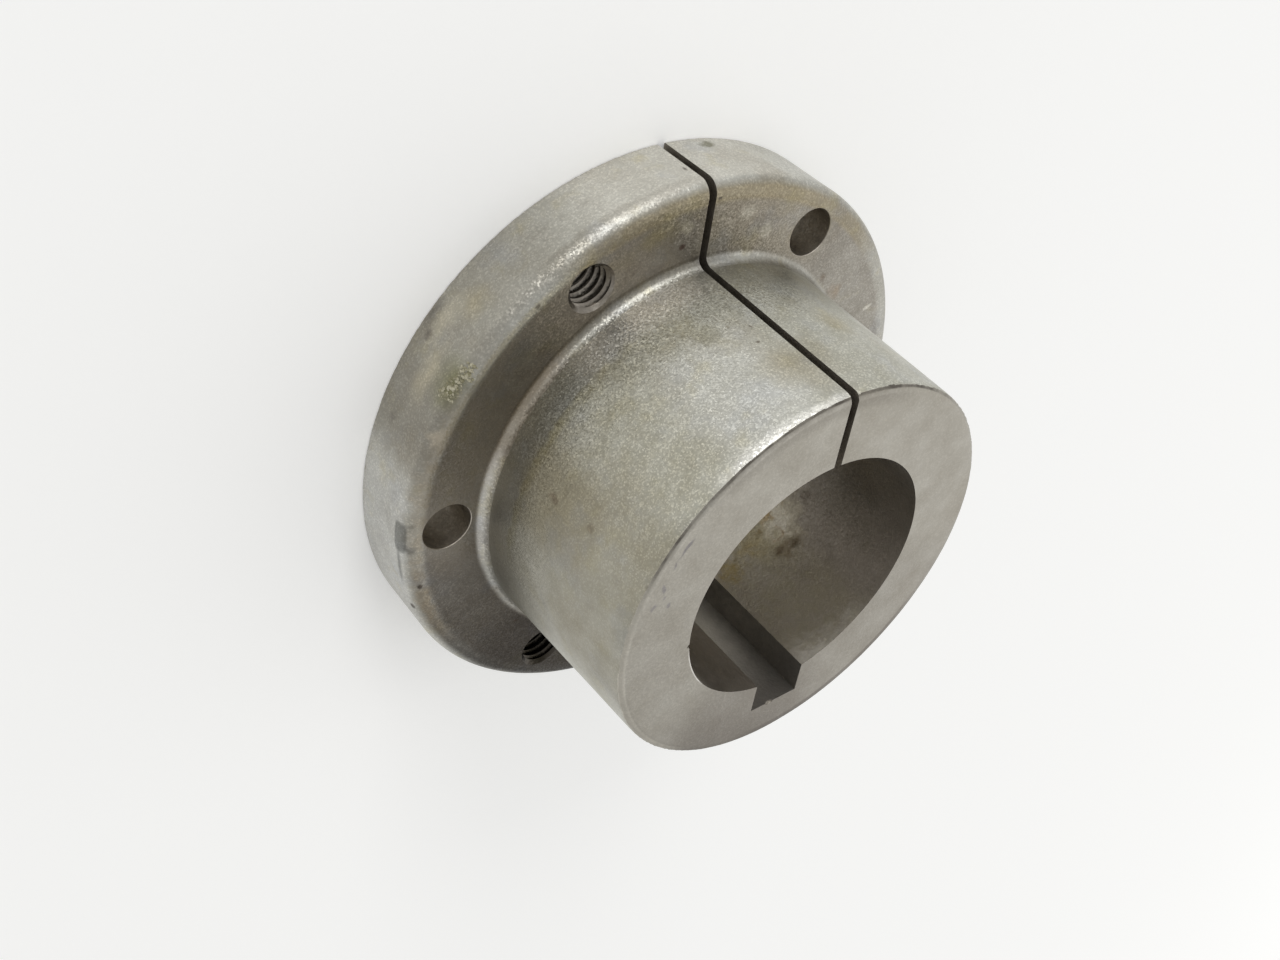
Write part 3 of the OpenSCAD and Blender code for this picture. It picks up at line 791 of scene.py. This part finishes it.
def ringTree():
    # sets copies of one cutter round the bolt circle
    tree, given = newTree("ringOfHoles", Geometry=["Cutter"], Int=["Count"], Float=["Radius", "Turn"])
    circle = addNode(tree, "GeometryNodeMeshCircle", {
        "Vertices": given["Count"], "Radius": given["Radius"]})[0]
    turnVector = addNode(tree, "ShaderNodeCombineXYZ", {2: given["Turn"]})[0]
    turned = addNode(tree, "GeometryNodeTransform", {"Geometry": circle, "Rotation": turnVector})[0]
    copies = addNode(tree, "GeometryNodeInstanceOnPoints", {
        "Points": turned, "Instance": given["Cutter"]})[0]
    return endTree(tree, copies, given["Finish"])


def threadTree():
    # a vee groove along a right-hand helix
    tree, given = newTree(
        "threadGroove", Float=["Pitch", "Major radius", "Minor radius", "Length"], Int=["Steps"])
    turns = addNode(tree, "ShaderNodeMath", {
        0: given["Length"], 1: given["Pitch"]}, operation="DIVIDE")[0]
    helix = addNode(tree, "GeometryNodeCurveSpiral", {
        "Resolution": given["Steps"], "Rotations": turns, "Start Radius": given["Major radius"],
        "End Radius": given["Major radius"], "Height": given["Length"], "Reverse": True})[0]
    upright = addNode(tree, "GeometryNodeSetCurveNormal", {0: helix}, mode="Z_UP")[0]
    depth = addNode(tree, "ShaderNodeMath", {
        0: given["Minor radius"], 1: given["Major radius"]}, operation="SUBTRACT")[0]
    size = addNode(tree, "ShaderNodeCombineXYZ", {0: depth, 1: given["Pitch"]})[0]
    # corners of the vee as shares of the depth and the pitch, past the hole's wall at its open side
    shares = [(1.28, 0.46, 0), (0, 0.06, 0), (0, -0.06, 0), (1.28, -0.46, 0)]
    corners = {}
    for i, share in enumerate(shares):
        corners[f"Point {i + 1}"] = addNode(tree, "ShaderNodeVectorMath", {
            0: size, 1: share}, operation="MULTIPLY")[0]
    vee = addNode(tree, "GeometryNodeCurvePrimitiveQuadrilateral", corners, mode="POINTS")[0]
    groove = addNode(tree, "GeometryNodeCurveToMesh", {
        "Curve": upright, "Profile Curve": vee, "Fill Caps": True})[0]
    return endTree(tree, groove, given["Finish"])


def threadMesh(size):
    made = runTree(groove, bpy.data.meshes.new("threadStart"), {
        "Pitch": size["pitch"] * mm, "Major radius": size["majorRadius"] * mm,
        "Minor radius": size["minorRadius"] * mm, "Length": size["length"] * mm,
        "Steps": size["steps"], "Finish": finishes["thread"]})
    made.transform(Matrix.Translation((0, 0, size["start"] * mm)))
    return made


def cut(target, mesh, part):
    outwardFaces(mesh)
    dress(mesh, part)
    cutter = bpy.data.objects.new("cutter", mesh)
    scene.collection.objects.link(cutter)
    boolean = target.modifiers.new("cut", "BOOLEAN")
    boolean.operation = "DIFFERENCE"
    boolean.solver = "MANIFOLD"
    boolean.material_mode = "INDEX"
    boolean.object = cutter
    made = bpy.data.meshes.new_from_object(target.evaluated_get(bpy.context.evaluated_depsgraph_get()))
    target.modifiers.clear()
    target.data = made
    bpy.data.objects.remove(cutter)
    print("cut", part, len(made.polygons), "faces")


def boxMesh(low, high):
    work = bmesh.new()
    bmesh.ops.create_cube(work, size=1.0)
    for vertex in work.verts:
        vertex.co = [(start + (end - start) * (c + 0.5)) * mm for c, start, end in zip(vertex.co, low, high)]
    mesh = bpy.data.meshes.new("box")
    work.to_mesh(mesh)
    work.free()
    return mesh


def roundFlange(mesh, part, turn):
    return runTree(ring, mesh, {
        "Count": holes["count"], "Radius": holes["circleRadius"] * mm, "Turn": math.radians(turn),
        "Finish": finishes[part]})


ring, groove = ringTree(), threadTree()
depth = body["flangeThickness"]
plainCutter = holeCutter(
    "plainHole", "hole", holes["plainRadius"], holes["plainMouth"], depth, holes["steps"])
tappedCutter = holeCutter(
    "tappedHole", "thread", holes["tappedRadius"], holes["tappedMouth"], depth, holes["steps"])
setScrewCutter = holeCutter(
    "setScrewHole", "thread", setScrew["radius"], setScrew["mouth"],
    body["flangeRadius"] - setScrew["floor"], setScrew["steps"], mouths=1)
setScrewCutter.transform(Matrix.Translation((0, 0, setScrew["floor"] * mm)))
plainRing = roundFlange(plainCutter, "hole", holes["plainTurn"])
tappedRing = roundFlange(tappedCutter, "thread", holes["tappedTurn"])
threadRing = roundFlange(threadMesh(flangeThread), "thread", holes["tappedTurn"])
sideways = Matrix.Rotation(math.radians(90), 4, "X")
towardsKeyway = Matrix.Translation((0, 0, setScrew["height"] * mm)) @ sideways
setScrewCutter.transform(towardsKeyway)
setScrewGroove = threadMesh(setScrewThread)
setScrewGroove.transform(towardsKeyway)

slots = {"splitWidth": 1.4, "keyWidth": 9.5, "keyFloor": 27.625, "low": -2, "far": 60}
low, far = slots["low"], slots["far"]
halfKey, halfSplit = slots["keyWidth"] / 2, slots["splitWidth"] / 2
cut(bushing, plainRing, "hole")
cut(bushing, tappedRing, "thread")
cut(bushing, threadRing, "thread")
cut(bushing, setScrewCutter, "thread")
cut(bushing, setScrewGroove, "thread")
cut(bushing, boxMesh((-halfKey, -slots["keyFloor"], low), (halfKey, 0, far)), "keyway")
cut(bushing, boxMesh((-halfSplit, 0, low), (halfSplit, far, far)), "slot")

# knocks on the edges, each the print of a rough lump
nicks = [
    {"at": (-49.3, 5.9, 0.2), "size": (0.55, 0.8, 0.6)},
    {"at": (-21.6, -3.0, 48.1), "size": (0.9, 0.6, 0.8)},
    {"at": (-0.9, -27.7, 48.1), "size": (0.9, 0.5, 0.6)},
]
for nick in nicks:
    work = bmesh.new()
    bmesh.ops.create_icosphere(work, subdivisions=2, radius=1.0)
    for vertex in work.verts:
        swell = 1 + 0.25 * noise.noise(vertex.co * 1.7 + Vector(nick["at"]))
        vertex.co = [
            (place + c * size * swell) * mm for c, place, size in zip(vertex.co, nick["at"], nick["size"])]
    lump = bpy.data.meshes.new("nick")
    work.to_mesh(lump)
    work.free()
    cut(bushing, lump, "face")

bushing.data.polygons.foreach_set("use_smooth", [True] * len(bushing.data.polygons))
bushing.data.set_sharp_from_angle(angle=math.radians(body["sharpAngle"]))
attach(bushing, "root")
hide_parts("bushing")
print("bushing cut")


# dried crust on the rounded edge, as lumps in clusters along a streak, most of them at its first end

crust = {
    "count": 260, "clusters": 3, "lean": 1.3, "loose": 0.19, "turns": (143.0, 150.4), "arcs": (48.0, 24.0),
    "spread": 38.0, "smallest": 0.05, "largest": 0.34, "seed": 31,
    "darkColour": "#837e63", "paleColour": "#bdb8a2", "roughness": 0.85,
    "blotchSize": 0.7, "crumbSize": 0.15, "crumbDepth": 0.1,
}


def crustTree():
    tree, given = newTree(
        "driedCrust", Int=["Count", "Clusters", "Seed"], Vector=["Edge centre"],
        Float=["Lean", "Loose", "First turn", "Last turn", "First arc", "Last arc", "Spread",
               "Smallest", "Largest", "Round"])
    points = addNode(tree, "GeometryNodePoints", {"Count": given["Count"]})[0]
    draws = []
    for step in range(5):
        seed = addNode(tree, "ShaderNodeMath", {0: given["Seed"], 1: step}, operation="ADD")[0]
        draws.append(addNode(tree, "FunctionNodeRandomValue", {
            2: 0.0, 3: 0.999, 8: seed}, data_type="FLOAT")[1])
    leaning = addNode(tree, "ShaderNodeMath", {0: draws[0], 1: given["Lean"]}, operation="POWER")[0]
    scaled = addNode(tree, "ShaderNodeMath", {0: leaning, 1: given["Clusters"]}, operation="MULTIPLY")[0]
    cluster = addNode(tree, "ShaderNodeMath", {0: scaled}, operation="FLOOR")[0]
    middle = addNode(tree, "ShaderNodeMath", {0: cluster, 1: 0.5}, operation="ADD")[0]
    centre = addNode(tree, "ShaderNodeMath", {0: middle, 1: given["Clusters"]}, operation="DIVIDE")[0]
    aside = addNode(tree, "ShaderNodeMath", {0: draws[1], 1: 0.5}, operation="SUBTRACT")[0]
    along = addNode(tree, "ShaderNodeMath", {
        0: aside, 1: given["Loose"], 2: centre}, operation="MULTIPLY_ADD")[0]
    turn = addNode(tree, "ShaderNodeMapRange", {
        "Value": along, "To Min": given["First turn"], "To Max": given["Last turn"]}, clamp=False)[0]
    arcMiddle = addNode(tree, "ShaderNodeMapRange", {
        "Value": along, "To Min": given["First arc"], "To Max": given["Last arc"]}, clamp=False)[0]
    across = addNode(tree, "ShaderNodeMath", {0: draws[2], 1: draws[3]}, operation="SUBTRACT")[0]
    arc = addNode(tree, "ShaderNodeMath", {
        0: across, 1: given["Spread"], 2: arcMiddle}, operation="MULTIPLY_ADD")[0]
    # out along the rounding by the arc, then round the axis by the turn
    spoke = addNode(tree, "ShaderNodeCombineXYZ", {0: given["Round"]})[0]
    raised = addNode(tree, "ShaderNodeVectorRotate", {
        "Vector": spoke, "Angle": arc}, rotation_type="Y_AXIS", invert=True)[0]
    onEdge = addNode(tree, "ShaderNodeVectorMath", {
        0: raised, 1: given["Edge centre"]}, operation="ADD")[0]
    place = addNode(tree, "ShaderNodeVectorRotate", {
        "Vector": onEdge, "Angle": turn}, rotation_type="Z_AXIS")[0]
    placed = addNode(tree, "GeometryNodeSetPosition", {"Geometry": points, "Position": place})[0]

    ball = addNode(tree, "GeometryNodeMeshIcoSphere", {"Radius": 1.0, "Subdivisions": 2})[0]
    dents = addNode(tree, "ShaderNodeTexNoise", {"Scale": 1.6, "Detail": 3.0})["Color"]
    dentShift = addNode(tree, "ShaderNodeVectorMath", {
        0: dents, 1: (0.5, 0.5, 0.5)}, operation="SUBTRACT")[0]
    lump = addNode(tree, "GeometryNodeSetPosition", {"Geometry": ball, "Offset": dentShift})[0]
    share = addNode(tree, "ShaderNodeMath", {0: draws[4], 1: 2.5}, operation="POWER")[0]
    size = addNode(tree, "ShaderNodeMapRange", {
        "Value": share, "To Min": given["Smallest"], "To Max": given["Largest"]})[0]
    roll = addNode(tree, "FunctionNodeRandomValue", {1: (6.28, 6.28, 6.28), 8: given["Seed"]},
                   data_type="FLOAT_VECTOR")[0]
    lumps = addNode(tree, "GeometryNodeInstanceOnPoints", {
        "Points": placed, "Instance": lump, "Rotation": roll, "Scale": size})[0]
    return endTree(tree, lumps, given["Finish"])


def residueFinish():
    # dried residue, chalky: pale olive grey lumps that are dull from every side
    material, tree = newMaterial("driedChalkyResidue")
    coords = addNode(tree, "ShaderNodeTexCoord")["Object"]
    blotch = addNode(tree, "ShaderNodeTexNoise", {
        "Vector": coords, "Scale": 1 / (crust["blotchSize"] * mm), "Detail": 4.0})["Fac"]
    share = addNode(tree, "ShaderNodeMapRange", {"Value": blotch, "From Min": 0.38, "From Max": 0.62})[0]
    colour = addNode(tree, "ShaderNodeMix", {
        0: share, 6: linearColour(crust["darkColour"]), 7: linearColour(crust["paleColour"])},
        data_type="RGBA")[2]
    crumbs = addNode(tree, "ShaderNodeTexNoise", {
        "Vector": coords, "Scale": 1 / (crust["crumbSize"] * mm), "Detail": 2.0})["Fac"]
    bump = addNode(tree, "ShaderNodeBump", {
        "Height": crumbs, "Strength": 0.6, "Distance": crust["crumbDepth"] * mm})[0]
    shader = addNode(tree, "ShaderNodeBsdfPrincipled", {
        "Base Color": colour, "Roughness": crust["roughness"], "IOR": 1.5, "Normal": bump})[0]
    addNode(tree, "ShaderNodeOutputMaterial", {"Surface": shader})
    return material


roundR, roundZ = body["flangeRadius"] - body["rimRound"], body["flangeThickness"] - body["rimRound"]
crustMesh = runTree(crustTree(), bpy.data.meshes.new("crustStart"), {
    "Count": crust["count"], "Clusters": crust["clusters"], "Seed": crust["seed"],
    "Lean": crust["lean"], "Loose": 2 * crust["loose"],
    "First turn": math.radians(crust["turns"][0]), "Last turn": math.radians(crust["turns"][1]),
    "First arc": math.radians(crust["arcs"][0]), "Last arc": math.radians(crust["arcs"][1]),
    "Spread": math.radians(crust["spread"]),
    "Smallest": crust["smallest"] * mm, "Largest": crust["largest"] * mm,
    "Edge centre": (roundR * mm, 0, roundZ * mm), "Round": body["rimRound"] * mm,
    "Finish": residueFinish()})
crustLumps = bpy.data.objects.new("driedCrust", crustMesh)
scene.collection.objects.link(crustLumps)
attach(crustLumps, "root")
print("crust set:", len(crustMesh.polygons), "faces")


# stage: pale floor, soft light from the saw cut's side, camera of the picture

stage = {
    "floorColour": "#f2f2f0", "floorSize": 6.0, "floorDrop": 0.0001, "world": 0.62, "backgroundLift": 0.2,
    "aimHeight": 0.02,
}
softLights = [
    {"name": "softKey", "from": (0.0, 0.95, 0.28), "distance": 2.25, "width": 0.78, "height": 1.5,
     "power": 15.75},
    {"name": "sideFill", "from": (0.75, -0.3, 0.59), "distance": 1.3, "width": 1.6, "height": 1.6,
     "power": 4.0},
]
camera = {
    "place": (-122.945, 141.216, 143.793),
    "right": (0.80121, 0.12178, 0.58586), "up": (0.30400, 0.76048, -0.57381),
    "focalPixels": 1379.741, "imageWidth": 1280, "sensorWidth": 36.0,
}

floorMesh = bpy.data.meshes.new("paleFloor")
span, drop = stage["floorSize"] / 2, -stage["floorDrop"]
floorCorners = [(-span, -span, drop), (span, -span, drop), (span, span, drop), (-span, span, drop)]
floorMesh.from_pydata(floorCorners, [], [(0, 1, 2, 3)])
floor = bpy.data.objects.new("paleFloor", floorMesh)
scene.collection.objects.link(floor)
paper, paperTree = newMaterial("paleFloorPaper")
paperShader = addNode(paperTree, "ShaderNodeBsdfDiffuse", {
    "Color": linearColour(stage["floorColour"])})[0]
# the paper reads a little whiter to the eye and in the metal, and keeps the shadow
rays = addNode(paperTree, "ShaderNodeLightPath")
seen = rays["Is Camera Ray"]
for other in ("Is Glossy Ray", "Is Transmission Ray"):
    seen = addNode(paperTree, "ShaderNodeMath", {0: seen, 1: rays[other]}, operation="MAXIMUM")[0]
lift = addNode(paperTree, "ShaderNodeMath", {
    0: seen, 1: stage["backgroundLift"]}, operation="MULTIPLY")[0]
glow = addNode(paperTree, "ShaderNodeEmission", {"Strength": lift})[0]
paperSeen = addNode(paperTree, "ShaderNodeAddShader", {0: paperShader, 1: glow})[0]
addNode(paperTree, "ShaderNodeOutputMaterial", {"Surface": paperSeen})
floorMesh.materials.append(paper)

world = bpy.data.worlds.new("softRoom")
scene.world = world
world.use_nodes = True
world.node_tree.nodes.clear()
sky = addNode(world.node_tree, "ShaderNodeBackground", {
    "Color": (1, 1, 1, 1), "Strength": stage["world"]})[0]
addNode(world.node_tree, "ShaderNodeOutputWorld", {"Surface": sky})

for light in softLights:
    lightData = bpy.data.lights.new(light["name"], "AREA")
    lightData.shape = "RECTANGLE"
    lightData.energy = light["power"]
    lightData.size, lightData.size_y = light["width"], light["height"]
    lamp = bpy.data.objects.new(light["name"], lightData)
    scene.collection.objects.link(lamp)
    towards = Vector(light["from"]).normalized()
    lamp.location = towards * light["distance"] + Vector((0, 0, stage["aimHeight"]))
    lamp.rotation_euler = towards.to_track_quat("Z", "Y").to_euler()

cameraData = bpy.data.cameras.new("pictureCamera")
cameraData.sensor_width = camera["sensorWidth"]
cameraData.lens = camera["focalPixels"] * camera["sensorWidth"] / camera["imageWidth"]
cameraData.clip_start, cameraData.clip_end = 0.01, 20
pictureCamera = bpy.data.objects.new("pictureCamera", cameraData)
scene.collection.objects.link(pictureCamera)
right, up = Vector(camera["right"]).normalized(), Vector(camera["up"]).normalized()
back = right.cross(up)
pictureCamera.matrix_world = Matrix((
    (right.x, up.x, back.x, camera["place"][0] * mm),
    (right.y, up.y, back.y, camera["place"][1] * mm),
    (right.z, up.z, back.z, camera["place"][2] * mm),
    (0, 0, 0, 1)))
scene.camera = pictureCamera
print("stage set")
